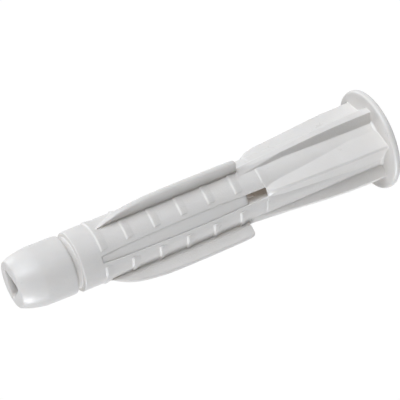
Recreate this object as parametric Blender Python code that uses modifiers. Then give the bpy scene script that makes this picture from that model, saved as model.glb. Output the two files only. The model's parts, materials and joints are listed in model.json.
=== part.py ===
"""Universal wall plug: one moulding, standing on its collar with the nose up.

Stations in the profiles are measured from the nose tip, as along a real plug; `up` turns one into a height.
All sizes are in millimetres here and become metres when a mesh is made.
"""

import math

import bmesh
import bpy
from mathutils import Matrix, Vector

# Overall sizes
LENGTH = 51.0
BODY_DIAMETER = 7.7
COLLAR_DIAMETER = 13.3
COLLAR_THICKNESS = 0.86
COLLAR_ROUND = 0.28

# Nose and the ring groove behind it
NOSE_LENGTH = 7.17
NOSE_DIAMETER = 7.56
NOSE_FACE_DIAMETER = 5.44
NOSE_TAPER = 3.4
NOSE_ROUND = 0.33
GROOVE_WIDTH = 0.73
GROOVE_DEPTH = 0.46
BAND_LENGTH = 3.05

# Three slots between the legs
SLOT_LENGTH = 22.78
SLOT_WIDTH = 1.59
SLOT_DEPTH = 0.61
WINDOW_LENGTH = 2.85
WINDOW_RAMP = 0.4

# Three anti-rotation fins, each in a narrow relief
FIN_LENGTH = 19.42
FIN_HEIGHT = 2.06
FIN_THICKNESS = 0.77
RELIEF_GAP = 0.17
RELIEF_DEPTH = 1.0

# Grip ribs around the legs
RIB_PITCH = 3.76
RIB_HEIGHT = 0.2
RIB_WIDTH = 0.42
RIB_COUNT = 5

# Ridges between the slots' ends and the collar, and the keels behind the fins
RIDGE_HEIGHT = 1.65
RIDGE_SPREAD = math.radians(31.0)
KEEL_HEIGHT = 1.43
KEEL_WIDTH = 1.22

# Screw entry from the collar, and the three-cornered channel that guides the tip
BORE_DIAMETER = 5.2
BORE_DRAFT = 0.1
MOUTH_CHAMFER = 0.4
CHANNEL_WIDTH = 2.6
CHANNEL_CORNER = 0.45

# Clearances that the dependent features use
EMBED = 0.3
RIB_SLOT_CLEARANCE = 0.6
NARROWER = 0.05
PAST = 1.0
EDGE = 0.15

STEPS = 64
SECTORS = 3

BODY_RADIUS = BODY_DIAMETER / 2
COLLAR_RADIUS = COLLAR_DIAMETER / 2
BORE_RADIUS = BORE_DIAMETER / 2
COLLAR_START = LENGTH - COLLAR_THICKNESS
BAND_START = NOSE_LENGTH + GROOVE_WIDTH
RIM_STATION = BAND_START + BAND_LENGTH
SLOT_START = RIM_STATION - RIB_WIDTH / 2 - EDGE
SLOT_END = SLOT_START + SLOT_LENGTH
FIN_START = RIM_STATION + RIB_WIDTH / 2 + EDGE
FIN_END = FIN_START + FIN_LENGTH
RIB_FIRST = RIM_STATION + 0.95 * RIB_PITCH
FLOOR_RADIUS = BODY_RADIUS - SLOT_DEPTH
RIDGE_START = SLOT_END + EDGE / 2
HEAD_LENGTH = COLLAR_START - RIDGE_START


def up(station):
    return LENGTH - station


def collection(name, helper=False):
    made = bpy.data.collections.new(name)
    made.hide_render = helper
    bpy.context.scene.collection.children.link(made)
    return made


def link(name, mesh, into):
    made = bpy.data.objects.new(name, mesh)
    into.objects.link(made)
    if into.hide_render:
        made.hide_render = True
        made.display_type = "WIRE"
    return made


def mesh_of(name, bm):
    bmesh.ops.scale(bm, vec=(0.001, 0.001, 0.001), verts=bm.verts)
    bmesh.ops.recalc_face_normals(bm, faces=bm.faces)
    made = bpy.data.meshes.new(name)
    bm.to_mesh(made)
    bm.free()
    return made


def turned(name, loops, into):
    """Bodies of revolution about Z, one for each profile of (station, radius), by a Screw modifier."""
    bm = bmesh.new()
    for profile, closed in loops:
        verts = [bm.verts.new((radius, 0, up(station))) for station, radius in profile]
        pairs = list(zip(verts, verts[1:]))
        if closed:
            pairs.append((verts[-1], verts[0]))
        for pair in pairs:
            bm.edges.new(pair)
    bmesh.ops.scale(bm, vec=(0.001, 0.001, 0.001), verts=bm.verts)
    mesh = bpy.data.meshes.new(name)
    bm.to_mesh(mesh)
    bm.free()
    made = link(name, mesh, into)
    screw = made.modifiers.new("Turn", "SCREW")
    screw.axis = "Z"
    screw.steps = STEPS
    screw.render_steps = STEPS
    screw.use_merge_vertices = True
    screw.merge_threshold = 0.000001
    return made


def around(bm, offset=0.0):
    """Copies what the bmesh holds to the other sectors, after turning it by the offset angle."""
    bmesh.ops.rotate(bm, verts=bm.verts, cent=(0, 0, 0), matrix=Matrix.Rotation(offset, 3, "Z"))
    first = bm.verts[:] + bm.edges[:] + bm.faces[:]
    for sector in range(1, SECTORS):
        copied = bmesh.ops.duplicate(bm, geom=first)["geom"]
        verts = [item for item in copied if isinstance(item, bmesh.types.BMVert)]
        turn = Matrix.Rotation(sector * math.tau / SECTORS, 3, "Z")
        bmesh.ops.rotate(bm, verts=verts, cent=(0, 0, 0), matrix=turn)


def plate(bm, outline, half):
    """A flat plate in the radial plane at +X: an outline of (station, radius), extruded to each side."""
    verts = [bm.verts.new((radius, -half, up(station))) for station, radius in outline]
    face = bm.faces.new(verts)
    grown = bmesh.ops.extrude_face_region(bm, geom=[face])["geom"]
    moved = [item for item in grown if isinstance(item, bmesh.types.BMVert)]
    bmesh.ops.translate(bm, verts=moved, vec=(0, 2 * half, 0))


def pocket(bm, outline, low, high):
    """A prism along +X: an outline of (station, offset), extruded from radius low to radius high."""
    verts = [bm.verts.new((low, offset, up(station))) for station, offset in outline]
    face = bm.faces.new(verts)
    grown = bmesh.ops.extrude_face_region(bm, geom=[face])["geom"]
    moved = [item for item in grown if isinstance(item, bmesh.types.BMVert)]
    bmesh.ops.translate(bm, verts=moved, vec=(high - low, 0, 0))


def hull(bm, points):
    """The convex body around some points of (station, radius, offset)."""
    verts = [bm.verts.new((radius, offset, up(station))) for station, radius, offset in points]
    made = bmesh.ops.convex_hull(bm, input=verts)
    inner = [item for item in made["geom_interior"] if isinstance(item, bmesh.types.BMVert)]
    bmesh.ops.delete(bm, geom=inner, context="VERTS")


def boolean(target, other, operation):
    step = target.modifiers.new(other.name, "BOOLEAN")
    step.operation = operation
    step.solver = "EXACT"
    step.object = other


def clear():
    for old in list(bpy.data.objects):
        bpy.data.objects.remove(old, do_unlink=True)


def nose_taper():
    """From the rounded tip to the nose's full width: steep at first, with a soft crease at its end."""
    start = NOSE_FACE_DIAMETER / 2 + NOSE_ROUND
    rise = NOSE_DIAMETER / 2 - start
    points = []
    for t in (0.0, 0.15, 0.3, 0.5, 0.75, 1.0):
        bulge = 0.25 * t + 0.75 * (1 - (1 - t) ** 2.4)
        points.append((NOSE_ROUND + (NOSE_TAPER - NOSE_ROUND) * t, start + rise * bulge))
    return points


def body_profile():
    face = NOSE_FACE_DIAMETER / 2
    nose = NOSE_DIAMETER / 2
    tip = [
        (0.0, 0.0),
        (0.0, face),
        (0.12 * NOSE_ROUND, face + 0.4 * NOSE_ROUND),
        (0.4 * NOSE_ROUND, face + 0.75 * NOSE_ROUND),
    ]
    rest = [
        (NOSE_LENGTH - 0.3, nose),
        (NOSE_LENGTH - 0.1, nose - 0.08),
        (NOSE_LENGTH, nose - 0.22),
        (NOSE_LENGTH + 0.06, BODY_RADIUS - GROOVE_DEPTH),
        (BAND_START - 0.06, BODY_RADIUS - GROOVE_DEPTH),
        (BAND_START, BODY_RADIUS - 0.08),
        (BAND_START + 0.08, BODY_RADIUS),
        (COLLAR_START - 0.25, BODY_RADIUS),
        (COLLAR_START, BODY_RADIUS + 0.25),
        (COLLAR_START, COLLAR_RADIUS - COLLAR_ROUND),
        (COLLAR_START + 0.3 * COLLAR_ROUND, COLLAR_RADIUS - 0.3 * COLLAR_ROUND),
        (COLLAR_START + COLLAR_ROUND, COLLAR_RADIUS),
        (LENGTH - COLLAR_ROUND, COLLAR_RADIUS),
        (LENGTH - 0.3 * COLLAR_ROUND, COLLAR_RADIUS - 0.3 * COLLAR_ROUND),
        (LENGTH, COLLAR_RADIUS - COLLAR_ROUND),
        (LENGTH, 0.0),
    ]
    return tip + nose_taper() + rest


def rib_profile(station, height):
    half = RIB_WIDTH / 2
    return [
        (station - half, BODY_RADIUS - EMBED),
        (station - half, BODY_RADIUS + 0.35 * height),
        (station - 0.4 * half, BODY_RADIUS + height),
        (station + 0.4 * half, BODY_RADIUS + height),
        (station + half, BODY_RADIUS + 0.35 * height),
        (station + half, BODY_RADIUS - EMBED),
    ]


def slot_half(fraction):
    """Half the slot's width along it: narrow at its start and widest in the middle."""
    marks = [(0.0, 0.58), (0.12, 0.81), (0.31, 0.97), (0.57, 1.0), (0.85, 0.95), (1.0, 0.87)]
    for (a, low), (b, high) in zip(marks, marks[1:]):
        if fraction <= b:
            return SLOT_WIDTH / 2 * (low + (high - low) * (fraction - a) / (b - a))
    return SLOT_WIDTH / 2 * marks[-1][1]


def slot_outline(grow=0.0):
    marks = [0.0, 0.06, 0.12, 0.2, 0.31, 0.45, 0.57, 0.72, 0.85, 1.0]
    side = [(SLOT_START + SLOT_LENGTH * m, slot_half(m) + grow) for m in marks]
    return side + [(station, -half) for station, half in reversed(side)]


def rib_gaps():
    """What the ribs and the rim are kept clear of: the slots with a margin."""
    bm = bmesh.new()
    pocket(bm, slot_outline(RIB_SLOT_CLEARANCE), BODY_RADIUS - PAST, BODY_RADIUS + PAST)
    around(bm)
    return bm


def slots():
    bm = bmesh.new()
    pocket(bm, slot_outline(), FLOOR_RADIUS, BODY_RADIUS + PAST)
    around(bm)
    return bm


def windows():
    """Where the slots' last stretch ramps down into the bore. The end wall leans toward the collar."""
    inner = BORE_RADIUS - PAST
    start = SLOT_END - WINDOW_LENGTH
    slope = WINDOW_RAMP / (FLOOR_RADIUS - BORE_RADIUS)
    outline = [
        (start - slope * (BODY_RADIUS - NARROWER - FLOOR_RADIUS), BODY_RADIUS - NARROWER),
        (start + slope * (FLOOR_RADIUS - inner), inner),
        (SLOT_END + 0.5, inner),
        (SLOT_END + 0.5, BORE_RADIUS - NARROWER),
        (SLOT_END - NARROWER, BODY_RADIUS - NARROWER),
    ]
    bm = bmesh.new()
    plate(bm, outline, slot_half(1.0) - NARROWER)
    around(bm)
    return bm


def reliefs():
    floor = BODY_RADIUS - RELIEF_DEPTH
    outline = [
        (FIN_START + 0.05 * FIN_LENGTH, BODY_RADIUS + PAST),
        (FIN_START + 0.05 * FIN_LENGTH, BODY_RADIUS - 0.05),
        (FIN_START + 0.2 * FIN_LENGTH, floor),
        (FIN_END - NARROWER, floor),
        (FIN_END - NARROWER, BODY_RADIUS + PAST),
    ]
    bm = bmesh.new()
    plate(bm, outline, FIN_THICKNESS / 2 + RELIEF_GAP)
    around(bm, math.pi / SECTORS)
    return bm


def fins():
    marks = [
        (0.0, 0.0),
        (0.02, 0.12),
        (0.085, 0.44),
        (0.147, 0.67),
        (0.21, 0.8),
        (0.275, 0.89),
        (0.375, 0.975),
        (0.53, 1.0),
        (0.71, 0.995),
        (0.905, 0.975),
        (0.965, 0.95),
        (0.99, 0.9),
        (1.0, 0.8),
    ]
    outline = [(FIN_START + FIN_LENGTH * a, BODY_RADIUS + FIN_HEIGHT * b) for a, b in marks]
    outline.append((FIN_END, BODY_RADIUS - RELIEF_DEPTH - EMBED))
    outline.append((FIN_START, BODY_RADIUS - RELIEF_DEPTH - EMBED))
    bm = bmesh.new()
    plate(bm, outline, FIN_THICKNESS / 2)
    around(bm, math.pi / SECTORS)
    return bm


def section(station, top, tip, spread):
    """A ridge's cross-section: its top at a radius, and roots on the body at an angle either side."""
    points = []
    for side in (-1, 1):
        crest = Vector((top, side * tip))
        root = BODY_RADIUS * Vector((math.cos(spread), side * math.sin(spread)))
        foot = root + 0.15 * (root - crest)
        points.append((station, crest.x, crest.y))
        points.append((station, foot.x, foot.y))
    return points


def ridges():
    """Roof-shaped ridges from the slots' ends to the collar."""
    marks = [(0.0, 0.2, 0.36), (0.05, 0.43, 0.42), (0.13, 0.53, 0.5), (0.74, 0.965, 0.98)]
    marks += [(1.0, 1.0, 1.0)]
    points = []
    for a, height, spread in marks:
        station = RIDGE_START + HEAD_LENGTH * a + (EMBED if a == 1.0 else 0.0)
        top = BODY_RADIUS + RIDGE_HEIGHT * height
        points += section(station, top, EDGE, RIDGE_SPREAD * spread)
    bm = bmesh.new()
    hull(bm, points)
    around(bm)
    return bm


def keel(parts):
    start = FIN_END - NARROWER / 2
    run = COLLAR_START - start
    bm = bmesh.new()
    points = []
    for a, height, tip, spread in parts:
        station = start + run * a + (EMBED if a == 1.0 else 0.0)
        half = KEEL_WIDTH / 2 * tip
        angle = math.asin(min(0.9, half / BODY_RADIUS)) + spread
        points += section(station, BODY_RADIUS + KEEL_HEIGHT * height, half, angle)
    hull(bm, points)
    around(bm, math.pi / SECTORS)
    return bm


def bore():
    shoulder = SLOT_END - WINDOW_LENGTH
    return [
        (shoulder - BORE_RADIUS, 0.0),
        (shoulder, BORE_RADIUS - BORE_DRAFT),
        (LENGTH - MOUTH_CHAMFER, BORE_RADIUS),
        (LENGTH + PAST, BORE_RADIUS + MOUTH_CHAMFER + PAST),
        (LENGTH + PAST, 0.0),
    ]


def channel():
    """A three-cornered prism whose rounded corners point at the slots."""
    inner = CHANNEL_WIDTH / 2
    corner = CHANNEL_CORNER
    bm = bmesh.new()
    verts = []
    for sector in range(SECTORS):
        angle = sector * math.tau / SECTORS
        centre = 2 * (inner - corner) * Vector((math.cos(angle), math.sin(angle)))
        for turn in (-60, -30, 0, 30, 60):
            way = angle + math.radians(turn)
            spot = centre + corner * Vector((math.cos(way), math.sin(way)))
            verts.append(bm.verts.new((spot.x, spot.y, up(SLOT_END))))
    face = bm.faces.new(verts)
    grown = bmesh.ops.extrude_face_region(bm, geom=[face])["geom"]
    moved = [item for item in grown if isinstance(item, bmesh.types.BMVert)]
    bmesh.ops.translate(bm, verts=moved, vec=(0, 0, SLOT_END + PAST))
    return bm


def material():
    made = bpy.data.materials.new("light_grey_plastic")
    made.use_nodes = True
    shader = made.node_tree.nodes["Principled BSDF"]
    shader.inputs["Base Color"].default_value = (0.62, 0.62, 0.61, 1.0)
    shader.inputs["Roughness"].default_value = 0.45
    return made


def main():
    clear()
    plug = collection("universal_wall_plug")
    helpers = collection("cutters", helper=True)

    rings = [(rib_profile(RIM_STATION, RIB_HEIGHT), True)]
    rings += [
        (rib_profile(RIB_FIRST + i * RIB_PITCH, RIB_HEIGHT), True) for i in range(RIB_COUNT)
    ]
    ribs = turned("grip_ribs", rings, helpers)
    ribs.rotation_euler.z = math.pi / STEPS
    boolean(ribs, link("rib_gaps", mesh_of("rib_gaps", rib_gaps()), helpers), "DIFFERENCE")

    body = turned("wall_plug", [(body_profile(), False)], plug)
    boolean(body, ribs, "UNION")
    steps = (
        ("reliefs", reliefs, "DIFFERENCE"),
        ("fins", fins, "UNION"),
        ("ridges", ridges, "UNION"),
        ("keels_low", lambda: keel([(0.0, 0.35, 0.66, 0.02), (0.32, 0.49, 0.76, 0.05)]), "UNION"),
        (
            "keels_high",
            lambda: keel(
                [
                    (0.31, 0.485, 0.755, 0.05),
                    (0.58, 0.82, 0.88, 0.07),
                    (0.73, 0.95, 0.95, 0.09),
                    (0.86, 0.995, 1.0, 0.1),
                    (1.0, 1.0, 1.0, 0.1),
                ]
            ),
            "UNION",
        ),
        ("slots", slots, "DIFFERENCE"),
    )
    for name, make, operation in steps:
        boolean(body, link(name, mesh_of(name, make()), helpers), operation)
    entry = turned("bore", [(bore(), False)], helpers)
    entry.rotation_euler.z = math.pi / STEPS
    boolean(body, entry, "DIFFERENCE")
    boolean(body, link("windows", mesh_of("windows", windows()), helpers), "DIFFERENCE")
    boolean(body, link("channel", mesh_of("channel", channel()), helpers), "DIFFERENCE")
    body.data.materials.append(material())


main()
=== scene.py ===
"""Universal wall plug: a light grey moulding that stands on its collar, seen from its nose end."""
import json
import math

import bmesh
import bpy
import numpy as np
from mathutils import Matrix, Vector

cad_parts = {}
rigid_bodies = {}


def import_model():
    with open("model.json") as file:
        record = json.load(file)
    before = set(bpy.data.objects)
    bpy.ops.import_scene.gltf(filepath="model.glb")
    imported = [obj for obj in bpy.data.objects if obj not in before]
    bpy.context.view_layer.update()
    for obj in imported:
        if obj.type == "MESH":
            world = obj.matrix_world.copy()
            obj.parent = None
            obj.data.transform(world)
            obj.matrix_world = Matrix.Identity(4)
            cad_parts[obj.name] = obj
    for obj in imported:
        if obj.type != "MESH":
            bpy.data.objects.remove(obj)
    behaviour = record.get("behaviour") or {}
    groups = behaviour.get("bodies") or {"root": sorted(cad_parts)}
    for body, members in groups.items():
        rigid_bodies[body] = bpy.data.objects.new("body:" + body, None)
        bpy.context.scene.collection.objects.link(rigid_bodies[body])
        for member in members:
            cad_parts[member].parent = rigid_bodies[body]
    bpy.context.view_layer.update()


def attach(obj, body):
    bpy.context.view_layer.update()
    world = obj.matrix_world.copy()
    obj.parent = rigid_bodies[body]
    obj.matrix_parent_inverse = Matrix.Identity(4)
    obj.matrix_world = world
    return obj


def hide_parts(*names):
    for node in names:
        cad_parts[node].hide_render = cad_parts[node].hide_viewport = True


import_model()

# Sizes in millimetres. Stations run from the nose tip to the collar's head face.
LENGTH = 51.0
BODY_RADIUS = 3.85
COLLAR_RADIUS = 6.65
COLLAR_START = 50.14
NOSE_LENGTH = 7.17
NOSE_RADIUS = 3.78
NOSE_BEND = 0.2
NOSE_BEND_END = 9.0
BAND_START = 7.9
GROOVE_DEPTH = 0.58
RIM_STATION = 10.95
SLOT_START = 10.59
SLOT_LENGTH = 22.78
SLOT_END = SLOT_START + SLOT_LENGTH
SLOT_WIDTH = 1.59
FLOOR_RADIUS = 3.24
STRIP_RADIUS = 3.7
STRIP_GAP = 0.01
STRIP_SIDES = (-1, -0.94, -0.5, 0, 0.5, 0.94, 1)
STRIP_EDGE = 0.03
STRIP_END_ROUND = 0.7
STRIP_END_DROP = 0.35
STRIP_END_FOOT = 0.6
STRIP_SINK = 0.1
STRIP_OVERHANG = 0.45
WINDOW_LENGTH = 2.85
WINDOW_START = SLOT_END - WINDOW_LENGTH
WINDOW_SHIFT = 0.15
WINDOW_RAMP = 0.4
WINDOW_BACK = 0.5
WINDOW_FLOOR_RADIUS = 1.6
FIN_START = 11.32
FIN_LENGTH = 19.42
FIN_END = FIN_START + FIN_LENGTH
FIN_HEIGHT = 2.15
FIN_THICKNESS = 0.8
FIN_FOOT_THICKNESS = 0.26
FIN_ROUND = 0.2
FIN_STEP = 0.52
FIN_STEP_SHARE = 0.45
FIN_STEP_SLOPE = 0.02
FIN_LEAST_HEIGHT = 0.06
FIN_FULL_HEIGHT = 1.2
BLADE_SHARE = 0.72
RELIEF_GAP = 0.05
RELIEF_DEPTH = 1.0
RIB_PITCH = 3.76
RIB_FIRST = RIM_STATION + 0.95 * RIB_PITCH
RIB_HEIGHT = 0.14
LAST_RIB_HEIGHT = 0.06
RIB_WIDTH = 0.46
RIB_COUNT = 5
RIB_SLOT_CLEARANCE = 0.6
RIDGE_START = SLOT_END + 0.075
RIDGE_HEIGHT = 1.65
RIDGE_SPREAD = math.radians(31.0)
KEEL_START = FIN_END - 0.025
KEEL_HEIGHT = 1.43
KEEL_WIDTH = 0.98
BORE_RADIUS = 2.6
CHANNEL_INNER = 1.3
CHANNEL_CORNER = 0.45
EDGE = 0.15
SLACK = 0.01
STEPS = 192
SECTORS = 3

# A millimetre in metres
MM = 0.001

# How far joined forms reach into a surface, and how far cutters reach past one
EMBED = 0.3
PAST = 1.0

# The softening of edges, and the limit on triangles after it
VOXEL = 0.055
SMOOTH_ROUNDS = 2
MOST_TRIANGLES = 190000

# The painted glow inside the bore, an emission that stands in for light through the thin plastic: its
# strength, and where it fades in metres from the axis and above the head face
PAINTED_GLOW_STRENGTH = 0.055
GLOW_FROM_AXIS = (0.0026, 0.0032)
GLOW_HEIGHTS = (0.023, 0.027)

# The range that the noise textures mostly fill
NOISE_ENDS = (0.3, 0.7)

# A light that is a little cooler than white
LAMP_COLOUR = (0.955, 0.99, 1.05)

# How white the floor looks, and its strength where it is white
FLOOR_SHARE = 0.9
FLOOR_WHITE = 1.1

# The angle round the axis from the picture's top to the slot at +X
SLOT_TURN = math.radians(100.3)

helpers = bpy.data.collections.new("makers")
bpy.context.scene.collection.children.link(helpers)


def up(station):
    """The height of a station above the collar's head face."""
    return LENGTH - station


def link(name, mesh):
    made = bpy.data.objects.new(name, mesh)
    helpers.objects.link(made)
    return made


def mesh_of(name, bm):
    bmesh.ops.recalc_face_normals(bm, faces=bm.faces)
    made = bpy.data.meshes.new(name)
    bm.to_mesh(made)
    bm.free()
    return made


def turned(name, loops):
    """Bodies of revolution about Z, one for each profile of (station, radius)."""
    bm = bmesh.new()
    for profile, closed in loops:
        verts = [bm.verts.new((radius, 0, up(station))) for station, radius in profile]
        pairs = list(zip(verts, verts[1:]))
        if closed:
            pairs.append((verts[-1], verts[0]))
        for pair in pairs:
            bm.edges.new(pair)
    mesh = bpy.data.meshes.new(name)
    bm.to_mesh(mesh)
    bm.free()
    made = link(name, mesh)
    screw = made.modifiers.new("Turn", "SCREW")
    screw.axis = "Z"
    screw.steps = STEPS
    screw.render_steps = STEPS
    screw.use_merge_vertices = True
    screw.merge_threshold = 0.001
    return made


def around(bm, offset=0.0):
    """Copies what the bmesh holds to the other sectors, after turning it by the offset angle."""
    bmesh.ops.rotate(bm, verts=bm.verts, cent=(0, 0, 0), matrix=Matrix.Rotation(offset, 3, "Z"))
    first = bm.verts[:] + bm.edges[:] + bm.faces[:]
    for sector in range(1, SECTORS):
        copied = bmesh.ops.duplicate(bm, geom=first)["geom"]
        verts = [item for item in copied if isinstance(item, bmesh.types.BMVert)]
        turn = Matrix.Rotation(sector * math.tau / SECTORS, 3, "Z")
        bmesh.ops.rotate(bm, verts=verts, cent=(0, 0, 0), matrix=turn)


def plate(bm, outline, half):
    """A flat plate in the radial plane at +X: an outline of (station, radius), extruded to each side."""
    verts = [bm.verts.new((radius, -half, up(station))) for station, radius in outline]
    face = bm.faces.new(verts)
    grown = bmesh.ops.extrude_face_region(bm, geom=[face])["geom"]
    moved = [item for item in grown if isinstance(item, bmesh.types.BMVert)]
    bmesh.ops.translate(bm, verts=moved, vec=(0, 2 * half, 0))


def pocket(bm, outline, low, high):
    """A prism along +X: an outline of (station, offset), extruded from radius low to radius high."""
    verts = [bm.verts.new((low, offset, up(station))) for station, offset in outline]
    face = bm.faces.new(verts)
    grown = bmesh.ops.extrude_face_region(bm, geom=[face])["geom"]
    moved = [item for item in grown if isinstance(item, bmesh.types.BMVert)]
    bmesh.ops.translate(bm, verts=moved, vec=(high - low, 0, 0))


def hull(bm, points):
    """The convex body around some points of (station, radius, offset)."""
    verts = [bm.verts.new((radius, offset, up(station))) for station, radius, offset in points]
    made = bmesh.ops.convex_hull(bm, input=verts)
    inner = [item for item in made["geom_interior"] if isinstance(item, bmesh.types.BMVert)]
    bmesh.ops.delete(bm, geom=inner, context="VERTS")


def boolean(target, other, operation):
    step = target.modifiers.new(other.name, "BOOLEAN")
    step.operation = operation
    step.solver = "MANIFOLD"
    step.object = other


def eased(marks, count):
    """Resamples points of (place, value) smoothly, through each of them and without overshoot."""
    xs = np.array([m[0] for m in marks], float)
    ys = np.array([m[1] for m in marks], float)
    rise = np.diff(ys) / np.diff(xs)
    slope = np.zeros(len(xs))
    for i in range(1, len(xs) - 1):
        if rise[i - 1] * rise[i] > 0:
            slope[i] = 2 * rise[i - 1] * rise[i] / (rise[i - 1] + rise[i])
    slope[0], slope[-1] = rise[0], rise[-1]
    found = []
    for x in np.linspace(xs[0], xs[-1], count):
        i = min(len(xs) - 2, max(0, int(np.searchsorted(xs, x, "right")) - 1))
        h = xs[i + 1] - xs[i]
        t = (x - xs[i]) / h
        y = (
            (1 + 2 * t) * (1 - t) ** 2 * ys[i]
            + t * (1 - t) ** 2 * h * slope[i]
            + t * t * (3 - 2 * t) * ys[i + 1]
            + t * t * (t - 1) * h * slope[i + 1]
        )
        found.append((float(x), float(y)))
    return found


def body_profile():
    """The half-outline of nose, groove, body and collar, as (station, radius)."""
    taper = eased(
        [(0.26, 3.1), (0.8, 3.31), (1.3, 3.46), (1.9, 3.59), (2.6, 3.7), (3.15, NOSE_RADIUS - 0.01)], 24
    )
    return (
        [(0.0, 0.0), (0.0, 2.86), (0.03, 2.95), (0.11, 3.03)]
        + taper
        + [
            (NOSE_LENGTH - 0.3, NOSE_RADIUS),
            (NOSE_LENGTH - 0.1, NOSE_RADIUS - 0.08),
            (NOSE_LENGTH, NOSE_RADIUS - 0.22),
            (NOSE_LENGTH + 0.06, BODY_RADIUS - GROOVE_DEPTH),
            (BAND_START - 0.06, BODY_RADIUS - GROOVE_DEPTH),
            (BAND_START, BODY_RADIUS - 0.08),
            (BAND_START + 0.08, BODY_RADIUS),
            (COLLAR_START - 0.25, BODY_RADIUS),
            (COLLAR_START, BODY_RADIUS + 0.25),
            (COLLAR_START, COLLAR_RADIUS - 0.28),
            (COLLAR_START + 0.08, COLLAR_RADIUS - 0.09),
            (COLLAR_START + 0.28, COLLAR_RADIUS),
            (LENGTH - 0.28, COLLAR_RADIUS),
            (LENGTH - 0.08, COLLAR_RADIUS - 0.09),
            (LENGTH, COLLAR_RADIUS - 0.28),
            (LENGTH, 0.0),
        ]
    )


def rib_profile(station, height):
    """A low barb: steep toward the nose, with a long fall toward the collar."""
    half = RIB_WIDTH / 2
    return [
        (station - half, BODY_RADIUS - EMBED),
        (station - half, BODY_RADIUS + 0.2 * height),
        (station - 0.5 * half, BODY_RADIUS + height),
        (station + 0.2 * half, BODY_RADIUS + height),
        (station + 3.6 * half, BODY_RADIUS + 0.03 * height),
        (station + 3.6 * half, BODY_RADIUS - EMBED),
    ]


# The slots' sides, as shares of their length and width
SLOT_MARKS = [
    (0.0, 0.58),
    (0.12, 0.8),
    (0.31, 0.94),
    (0.5, 1.0),
    (0.67, 0.99),
    (0.78, 0.9),
    (0.88, 0.81),
    (1.0, 0.79),
]


def slot_outline(grow=0.0):
    """A slot's outline, as (station, offset), widened to each side by grow."""
    side = [
        (SLOT_START + SLOT_LENGTH * a, SLOT_WIDTH / 2 * wide + grow)
        for a, wide in eased(SLOT_MARKS, 30)
    ]
    return side + [(station, -half) for station, half in reversed(side)]


def rib_gaps(bm):
    """Where the ribs stop short of the slots."""
    pocket(bm, slot_outline(RIB_SLOT_CLEARANCE), BODY_RADIUS - PAST, BODY_RADIUS + PAST)
    around(bm)


def slots(bm):
    """The shallow slots between the legs."""
    pocket(bm, slot_outline(), FLOOR_RADIUS, BODY_RADIUS + PAST)
    around(bm)


def windows(bm):
    """The slots' last stretch, which ramps down to a closed floor nearer the axis."""
    inner = WINDOW_FLOOR_RADIUS
    start = WINDOW_START + WINDOW_SHIFT
    slope = WINDOW_RAMP / (FLOOR_RADIUS - BORE_RADIUS)
    outline = [
        (start - slope * (BODY_RADIUS - FLOOR_RADIUS), BODY_RADIUS),
        (start + slope * (FLOOR_RADIUS - inner), inner),
        (SLOT_END + WINDOW_BACK, inner),
        (SLOT_END + WINDOW_BACK, BORE_RADIUS),
        (SLOT_END - SLACK, BODY_RADIUS),
    ]
    plate(bm, outline, SLOT_WIDTH / 2 * SLOT_MARKS[-1][1] - SLACK)
    around(bm)


def reliefs(bm):
    """The narrow groove that each fin stands in."""
    floor = BODY_RADIUS - RELIEF_DEPTH
    outline = [
        (FIN_START + 0.05 * FIN_LENGTH, BODY_RADIUS + PAST),
        (FIN_START + 0.05 * FIN_LENGTH, BODY_RADIUS - 0.05),
        (FIN_START + 0.2 * FIN_LENGTH, floor),
        (FIN_END - 0.05, floor),
        (FIN_END - 0.05, BODY_RADIUS + PAST),
    ]
    plate(bm, outline, FIN_FOOT_THICKNESS / 2 + RELIEF_GAP)
    around(bm, math.pi / SECTORS)


# The fins' backs, as shares of their length and height
FIN_MARKS = [
    (0.0, 0.0),
    (0.085, 0.44),
    (0.147, 0.67),
    (0.21, 0.8),
    (0.275, 0.89),
    (0.375, 0.975),
    (0.53, 1.0),
    (0.71, 0.995),
    (0.905, 0.975),
]


def fin_feet(bm):
    """The part of each fin that stands in its groove."""
    low, high = BODY_RADIUS - RELIEF_DEPTH - EMBED, BODY_RADIUS + 0.02
    outline = [(FIN_START, low), (FIN_START, high), (FIN_END, high), (FIN_END, low)]
    plate(bm, outline, FIN_FOOT_THICKNESS / 2)
    around(bm, math.pi / SECTORS)


def fin_section(height):
    """Half a fin's cross-section, foot to crest, as (radius, offset): a thin foot under a thicker blade."""
    foot = FIN_FOOT_THICKNESS / 2
    grown = min(1.0, height / FIN_FULL_HEIGHT)
    step = min(FIN_STEP, FIN_STEP_SHARE * height)
    points = [(BODY_RADIUS, foot), (BODY_RADIUS + step - FIN_STEP_SLOPE, foot)]
    for v in (0.0, 0.4, 0.7, 0.84, 0.9, 0.94, 0.97, 0.99):
        rise = step + (height - step) * v
        half = foot + (FIN_THICKNESS / 2 - foot) * grown * (BLADE_SHARE + (1 - BLADE_SHARE) * v)
        left = (1 - v) / FIN_ROUND
        if left < 1:
            half *= math.sqrt(1 - (1 - left) ** 2)
        points.append((BODY_RADIUS + rise, half))
    return points


def fins(bm):
    """Fins with a rounded crest."""
    back = eased(FIN_MARKS, 48) + [(0.965, 0.95), (0.985, 0.92), (0.996, 0.86), (1.0, 0.78)]
    rows = []
    for a, b in back:
        height = max(FIN_LEAST_HEIGHT, FIN_HEIGHT * b)
        half = fin_section(height)
        around_it = half + [(BODY_RADIUS + height, 0.0)]
        around_it += [(r, -y) for r, y in reversed(half)]
        spot = up(FIN_START + FIN_LENGTH * a)
        rows.append([bm.verts.new((r, y, spot)) for r, y in around_it])
    count = len(rows[0])
    for low, high in zip(rows, rows[1:]):
        for i in range(count):
            j = (i + 1) % count
            bm.faces.new((low[i], low[j], high[j], high[i]))
    bm.faces.new(rows[0])
    bm.faces.new(rows[-1])
    around(bm, math.pi / SECTORS)


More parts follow.
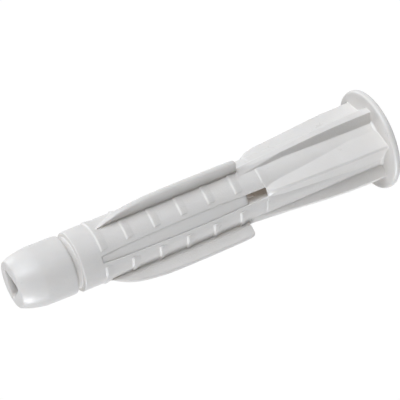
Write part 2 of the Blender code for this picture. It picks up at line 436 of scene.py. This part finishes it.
def section(station, top, tip, spread):
    """A ridge's cross-section: its top at a radius, and roots on the body at an angle either side."""
    points = []
    for side in (-1, 1):
        crest = Vector((top, side * tip))
        root = BODY_RADIUS * Vector((math.cos(spread), side * math.sin(spread)))
        foot = root + 0.15 * (root - crest)
        points.append((station, crest.x, crest.y))
        points.append((station, foot.x, foot.y))
    return points


def ridges(bm):
    """The roof-shaped ridges that widen from the slots' ends to the collar."""
    marks = [(0.0, 0.12, 0.3), (0.05, 0.38, 0.4), (0.13, 0.53, 0.5), (0.74, 0.965, 0.98)]
    marks += [(1.0, 1.0, 1.0)]
    points = []
    for a, height, spread in marks:
        station = RIDGE_START + (COLLAR_START - RIDGE_START) * a + (EMBED if a == 1.0 else 0.0)
        top = BODY_RADIUS + RIDGE_HEIGHT * height
        points += section(station, top, EDGE, RIDGE_SPREAD * spread)
    hull(bm, points)
    around(bm)


def keel(bm, marks):
    """A stretch of the keels, with marks of (place, height, top width, spread of the roots)."""
    points = []
    for a, height, tip, spread in marks:
        station = KEEL_START + (COLLAR_START - KEEL_START) * a + (EMBED if a == 1.0 else 0.0)
        half = KEEL_WIDTH / 2 * tip
        angle = math.asin(half / BODY_RADIUS) + spread
        points += section(station, BODY_RADIUS + KEEL_HEIGHT * height, half, angle)
    hull(bm, points)
    around(bm, math.pi / SECTORS)


def keels_low(bm):
    """The keels' thin start, which a hull with the rest would fill."""
    keel(bm, [(0.0, 0.2, 0.4, 0.14), (0.12, 0.31, 0.52, 0.12), (0.32, 0.49, 0.76, 0.06)])


def keels_high(bm):
    keel(
        bm,
        [
            (0.31, 0.485, 0.755, 0.05),
            (0.58, 0.82, 0.88, 0.07),
            (0.73, 0.95, 0.95, 0.09),
            (0.86, 0.995, 1.0, 0.1),
            (1.0, 1.0, 1.0, 0.1),
        ],
    )


def bore():
    """The profile of the screw's hole, with its widened mouth at the head face."""
    shoulder = SLOT_END + 0.6
    return [
        (shoulder - BORE_RADIUS, 0.0),
        (shoulder, BORE_RADIUS - 0.1),
        (LENGTH - 0.4, BORE_RADIUS),
        (LENGTH + PAST, BORE_RADIUS + 0.4 + PAST),
        (LENGTH + PAST, 0.0),
    ]


def channel(bm):
    """A three-cornered prism whose rounded corners point at the slots."""
    verts = []
    for sector in range(SECTORS):
        angle = sector * math.tau / SECTORS
        centre = 2 * (CHANNEL_INNER - CHANNEL_CORNER) * Vector((math.cos(angle), math.sin(angle)))
        for turn in range(-60, 61, 15):
            way = angle + math.radians(turn)
            spot = centre + CHANNEL_CORNER * Vector((math.cos(way), math.sin(way)))
            verts.append(bm.verts.new((spot.x, spot.y, up(SLOT_END))))
    face = bm.faces.new(verts)
    grown = bmesh.ops.extrude_face_region(bm, geom=[face])["geom"]
    moved = [item for item in grown if isinstance(item, bmesh.types.BMVert)]
    bmesh.ops.translate(bm, verts=moved, vec=(0, 0, SLOT_END + PAST))


def built(maker):
    """An object with what a maker function adds to an empty bmesh."""
    bm = bmesh.new()
    maker(bm)
    return link(maker.__name__, mesh_of(maker.__name__, bm))


def plug_mesh():
    """The moulding as one closed mesh with softened edges, without the raised slot floors."""
    rings = [(rib_profile(RIM_STATION, RIB_HEIGHT), True)]
    for i in range(RIB_COUNT):
        rings.append((rib_profile(RIB_FIRST + i * RIB_PITCH, RIB_HEIGHT), True))
    rings.append((rib_profile(RIB_FIRST + RIB_COUNT * RIB_PITCH, LAST_RIB_HEIGHT), True))
    ribs = turned("grip_ribs", rings)
    ribs.rotation_euler.z = math.pi / STEPS
    boolean(ribs, built(rib_gaps), "DIFFERENCE")
    body = turned("moulding", [(body_profile(), False)])
    boolean(body, ribs, "UNION")
    boolean(body, built(reliefs), "DIFFERENCE")
    for maker in (fin_feet, fins, ridges, keels_low, keels_high):
        boolean(body, built(maker), "UNION")
    boolean(body, built(slots), "DIFFERENCE")
    entry = turned("bore", [(bore(), False)])
    entry.rotation_euler.z = math.pi / STEPS
    boolean(body, entry, "DIFFERENCE")
    boolean(body, built(windows), "DIFFERENCE")
    boolean(body, built(channel), "DIFFERENCE")
    remesh = body.modifiers.new("Voxels", "REMESH")
    remesh.mode = "VOXEL"
    remesh.voxel_size = VOXEL
    soft = body.modifiers.new("Soft edges", "SMOOTH")
    soft.factor = 0.5
    soft.iterations = SMOOTH_ROUNDS
    graph = bpy.context.evaluated_depsgraph_get()
    mesh = bpy.data.meshes.new_from_object(body.evaluated_get(graph))
    for obj in list(helpers.objects):
        bpy.data.objects.remove(obj, do_unlink=True)
    return mesh


def strips():
    """The raised floor of each slot, with a thin gap along both sides and a rounded end at the window."""
    bm = bmesh.new()
    end = WINDOW_START + STRIP_OVERHANG
    fall = STRIP_RADIUS - FLOOR_RADIUS + STRIP_END_DROP
    rows = []
    for a, wide in eased(SLOT_MARKS, 90):
        station = SLOT_START + SLOT_LENGTH * a
        if station < end - STRIP_EDGE:
            near = max(0.0, 1 - (end - station) / STRIP_END_ROUND)
            high = STRIP_RADIUS - fall * (1 - math.sqrt(1 - near**2))
            rows.append((station, SLOT_WIDTH / 2 * wide - STRIP_GAP, high))
    rows.append((end, rows[-1][1], FLOOR_RADIUS - STRIP_END_FOOT))
    outer, inner = [], []
    for station, half, high in rows:
        across = [(half * side, high - (STRIP_EDGE if abs(side) == 1 else 0)) for side in STRIP_SIDES]
        outer.append([bm.verts.new((radius, y, up(station))) for y, radius in across])
        sunk = min(high, FLOOR_RADIUS) - STRIP_SINK
        inner.append([bm.verts.new((sunk, y, up(station))) for y in (-half, half)])
    for i in range(len(rows) - 1):
        for j in range(len(STRIP_SIDES) - 1):
            bm.faces.new((outer[i][j], outer[i][j + 1], outer[i + 1][j + 1], outer[i + 1][j]))
        bm.faces.new((inner[i][0], outer[i][0], outer[i + 1][0], inner[i + 1][0]))
        bm.faces.new((outer[i][-1], inner[i][1], inner[i + 1][1], outer[i + 1][-1]))
    bm.faces.new(outer[0][::-1] + [inner[0][0], inner[0][1]])
    around(bm)
    bmesh.ops.recalc_face_normals(bm, faces=bm.faces)
    return bm


def bend(mesh):
    """The nose leans a little to the picture's top, as on the plug in the photograph."""
    way = Vector((math.cos(SLOT_TURN), math.sin(SLOT_TURN), 0))
    start = up(NOSE_BEND_END) * MM
    for vert in mesh.vertices:
        past = (vert.co.z - start) / (MM * NOSE_BEND_END)
        if past > 0:
            vert.co += way * (MM * NOSE_BEND * past * past)


def plug_piece():
    """The moulding in metres, within the limit on triangles and with its slot floors."""
    mesh = plug_mesh()
    mesh.transform(Matrix.Scale(MM, 4))
    mesh.name = "plug_moulding"
    piece = bpy.data.objects.new("plug_moulding", mesh)
    bpy.context.scene.collection.objects.link(piece)
    triangles = sum(len(face.vertices) - 2 for face in mesh.polygons)
    if triangles > MOST_TRIANGLES:
        thin = piece.modifiers.new("Thin out", "DECIMATE")
        thin.ratio = MOST_TRIANGLES / triangles
        graph = bpy.context.evaluated_depsgraph_get()
        thinned = bpy.data.meshes.new_from_object(piece.evaluated_get(graph))
        piece.modifiers.clear()
        piece.data = thinned
        bpy.data.meshes.remove(mesh)
    whole = strips()
    bmesh.ops.scale(whole, vec=(MM, MM, MM), verts=whole.verts)
    whole.from_mesh(piece.data)
    whole.to_mesh(piece.data)
    whole.free()
    bend(piece.data)
    piece.data.shade_smooth()
    return piece


def mapped(tree, value, ends, results):
    """A value mapped from one range to another, and kept within it."""
    node = tree.nodes.new("ShaderNodeMapRange")
    node.inputs["From Min"].default_value, node.inputs["From Max"].default_value = ends
    node.inputs["To Min"].default_value, node.inputs["To Max"].default_value = results
    tree.links.new(value, node.inputs["Value"])
    return node.outputs["Result"]


def combined(tree, operation, first, second):
    """The result of a math node."""
    node = tree.nodes.new("ShaderNodeMath")
    node.operation = operation
    tree.links.new(first, node.inputs[0])
    tree.links.new(second, node.inputs[1])
    return node.outputs["Value"]


def painted_bore_glow(tree, shader, place):
    """A painted warm glow on the bore's walls: an emission that stands in for the daylight that comes
    through the thin plastic.
    """
    flat = tree.nodes.new("ShaderNodeVectorMath")
    flat.operation = "MULTIPLY"
    flat.inputs[1].default_value = (1, 1, 0)
    tree.links.new(place.outputs["Object"], flat.inputs[0])
    away = tree.nodes.new("ShaderNodeVectorMath")
    away.operation = "LENGTH"
    tree.links.new(flat.outputs["Vector"], away.inputs[0])
    inside = mapped(tree, away.outputs["Value"], GLOW_FROM_AXIS[::-1], (0.0, PAINTED_GLOW_STRENGTH))
    parts = tree.nodes.new("ShaderNodeSeparateXYZ")
    tree.links.new(place.outputs["Object"], parts.inputs[0])
    below = mapped(tree, parts.outputs["Z"], GLOW_HEIGHTS[::-1], (0.0, 1.0))
    shader.inputs["Emission Color"].default_value = (1.0, 0.87, 0.77, 1)
    tree.links.new(combined(tree, "MULTIPLY", inside, below), shader.inputs["Emission Strength"])


def plastic():
    """Light grey nylon with a fine moulded grain, and a painted warm glow on its bore's walls. Light that
    bounces inside it turns warmer.
    """
    made = bpy.data.materials.new("grey_plastic")
    made.use_nodes = True
    tree = made.node_tree
    shader = tree.nodes["Principled BSDF"]
    place = tree.nodes.new("ShaderNodeTexCoord")

    def noise(scale, detail, rough):
        node = tree.nodes.new("ShaderNodeTexNoise")
        node.inputs["Scale"].default_value = scale
        node.inputs["Detail"].default_value = detail
        node.inputs["Roughness"].default_value = rough
        tree.links.new(place.outputs["Object"], node.inputs["Vector"])
        return node.outputs["Fac"]

    tone = tree.nodes.new("ShaderNodeMix")
    tone.data_type = "RGBA"
    tone.inputs["A"].default_value = (0.665, 0.64, 0.606, 1)
    tone.inputs["B"].default_value = (0.705, 0.68, 0.646, 1)
    tree.links.new(mapped(tree, noise(180, 3, 0.5), NOISE_ENDS, (0.0, 1.0)), tone.inputs["Factor"])
    tree.links.new(tone.outputs["Result"], shader.inputs["Base Color"])
    roughness = mapped(tree, noise(700, 4, 0.6), NOISE_ENDS, (0.27, 0.42))
    tree.links.new(roughness, shader.inputs["Roughness"])
    grain = tree.nodes.new("ShaderNodeBump")
    grain.inputs["Strength"].default_value = 0.6
    grain.inputs["Distance"].default_value = 0.00004
    tree.links.new(noise(4500, 3, 0.6), grain.inputs["Height"])
    tree.links.new(grain.outputs["Normal"], shader.inputs["Normal"])
    # Painted light: a warm emission glows on the bore's walls, standing in for light through the plastic.
    painted_bore_glow(tree, shader, place)
    shader.inputs["Subsurface Weight"].default_value = 0.1
    shader.inputs["Subsurface Radius"].default_value = (1.0, 0.75, 0.5)
    shader.inputs["Subsurface Scale"].default_value = 0.0008
    return made


def camera():
    """The camera as fitted to the photograph: focal length in pixels of a 400-pixel frame."""
    focal, span = 2000.0, 400.0
    spot_x, spot_y = 235.1673, 194.6761
    turn, lean = -0.389872, 0.341675
    scale, station = 0.9956, 30.733
    along = Vector((math.cos(lean) * math.cos(turn), math.cos(lean) * math.sin(turn), math.sin(lean)))
    high = Vector((0, -1, 0))
    high = (high - along * high.dot(along)).normalized()
    near = along.cross(high)
    if near.z > 0:
        near = -near
    depth = focal / 8
    spot = Vector(((spot_x - span / 2) * depth / focal, (spot_y - span / 2) * depth / focal, depth))
    row_z = -along
    row_x = math.cos(SLOT_TURN) * high + math.sin(SLOT_TURN) * near
    row_y = row_z.cross(row_x)
    origin = (scale * spot + (LENGTH - station) * along) * MM
    flip = Matrix(((1, 0, 0, 0), (0, -1, 0, 0), (0, 0, -1, 0), (0, 0, 0, 1)))
    turn_to = Matrix((row_x, row_y, row_z)).transposed().to_4x4()
    turn_to.translation = origin
    data = bpy.data.cameras.new("camera")
    data.sensor_width = 36
    data.lens = focal / span * 36
    data.clip_start = 0.01
    data.clip_end = 10
    made = bpy.data.objects.new("camera", data)
    made.matrix_world = (flip @ turn_to).inverted()
    bpy.context.scene.collection.objects.link(made)
    bpy.context.scene.camera = made


def white_where_seen(tree, shader, output, share, strength=1.0):
    """Camera, glossy and transmission rays see white in this share; other rays see the shader."""
    rays = tree.nodes.new("ShaderNodeLightPath").outputs
    seen = combined(tree, "MAXIMUM", rays["Is Camera Ray"], rays["Is Glossy Ray"])
    seen = combined(tree, "MAXIMUM", seen, rays["Is Transmission Ray"])
    part = tree.nodes.new("ShaderNodeMath")
    part.operation = "MULTIPLY"
    part.inputs[1].default_value = share
    tree.links.new(seen, part.inputs[0])
    kind = "ShaderNodeEmission" if output.type == "OUTPUT_MATERIAL" else "ShaderNodeBackground"
    white = tree.nodes.new(kind)
    white.inputs["Color"].default_value = (1, 1, 1, 1)
    white.inputs["Strength"].default_value = strength
    mix = tree.nodes.new("ShaderNodeMixShader")
    tree.links.new(part.outputs[0], mix.inputs["Fac"])
    tree.links.new(shader.outputs[0], mix.inputs[1])
    tree.links.new(white.outputs[0], mix.inputs[2])
    tree.links.new(mix.outputs[0], output.inputs["Surface"])


def floor():
    """A floor that looks white and keeps a faint shadow. To other rays it is darker and lights less."""
    bm = bmesh.new()
    bmesh.ops.create_grid(bm, x_segments=1, y_segments=1, size=0.6)
    mesh = bpy.data.meshes.new("floor")
    bm.to_mesh(mesh)
    bm.free()
    made = bpy.data.objects.new("floor", mesh)
    made.location.z = -0.00005
    bpy.context.scene.collection.objects.link(made)
    material = bpy.data.materials.new("floor")
    material.use_nodes = True
    tree = material.node_tree
    shader = tree.nodes["Principled BSDF"]
    shader.inputs["Base Color"].default_value = (0.35, 0.35, 0.35, 1)
    shader.inputs["Roughness"].default_value = 0.9
    shader.inputs["Specular IOR Level"].default_value = 0.0
    white_where_seen(tree, shader, tree.nodes["Material Output"], FLOOR_SHARE, FLOOR_WHITE)
    mesh.materials.append(material)


def world():
    """A faint even light that looks white behind the floor."""
    made = bpy.data.worlds.new("studio")
    made.use_nodes = True
    tree = made.node_tree
    back = tree.nodes["Background"]
    back.inputs["Color"].default_value = (1, 1, 1, 1)
    back.inputs["Strength"].default_value = 0.02
    white_where_seen(tree, back, tree.nodes["World Output"], 1.0)
    bpy.context.scene.world = made


def lamp(name, around_axis, above_floor, strength, spread=30):
    """A broad soft light. The first angle goes round the plug from the picture's top toward the viewer."""
    data = bpy.data.lights.new(name, "SUN")
    data.energy = strength
    data.angle = math.radians(spread)
    data.color = LAMP_COLOUR
    turn, rise = SLOT_TURN - math.radians(around_axis), math.radians(above_floor)
    way = Vector((math.cos(rise) * math.cos(turn), math.cos(rise) * math.sin(turn), math.sin(rise)))
    made = bpy.data.objects.new(name, data)
    made.rotation_euler = way.to_track_quat("Z", "Y").to_euler()
    bpy.context.scene.collection.objects.link(made)


camera()
world()
floor()
plug = plug_piece()
plug.data.materials.clear()
plug.data.materials.append(plastic())
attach(plug, "root")
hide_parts("wall_plug")
lamp("high_back", -40, 15, 0.82)
lamp("high", 20, 15, 0.72)
lamp("high_front", 50, 15, 1.48)
lamp("high_nose", 40, 55, 1.1)
lamp("low_front", 160, 15, 0.75)
lamp("low", 180, 15, 1.75, 20)
lamp("low_nose", 190, 55, 0.2)

bpy.context.scene.view_settings.view_transform = "Standard"
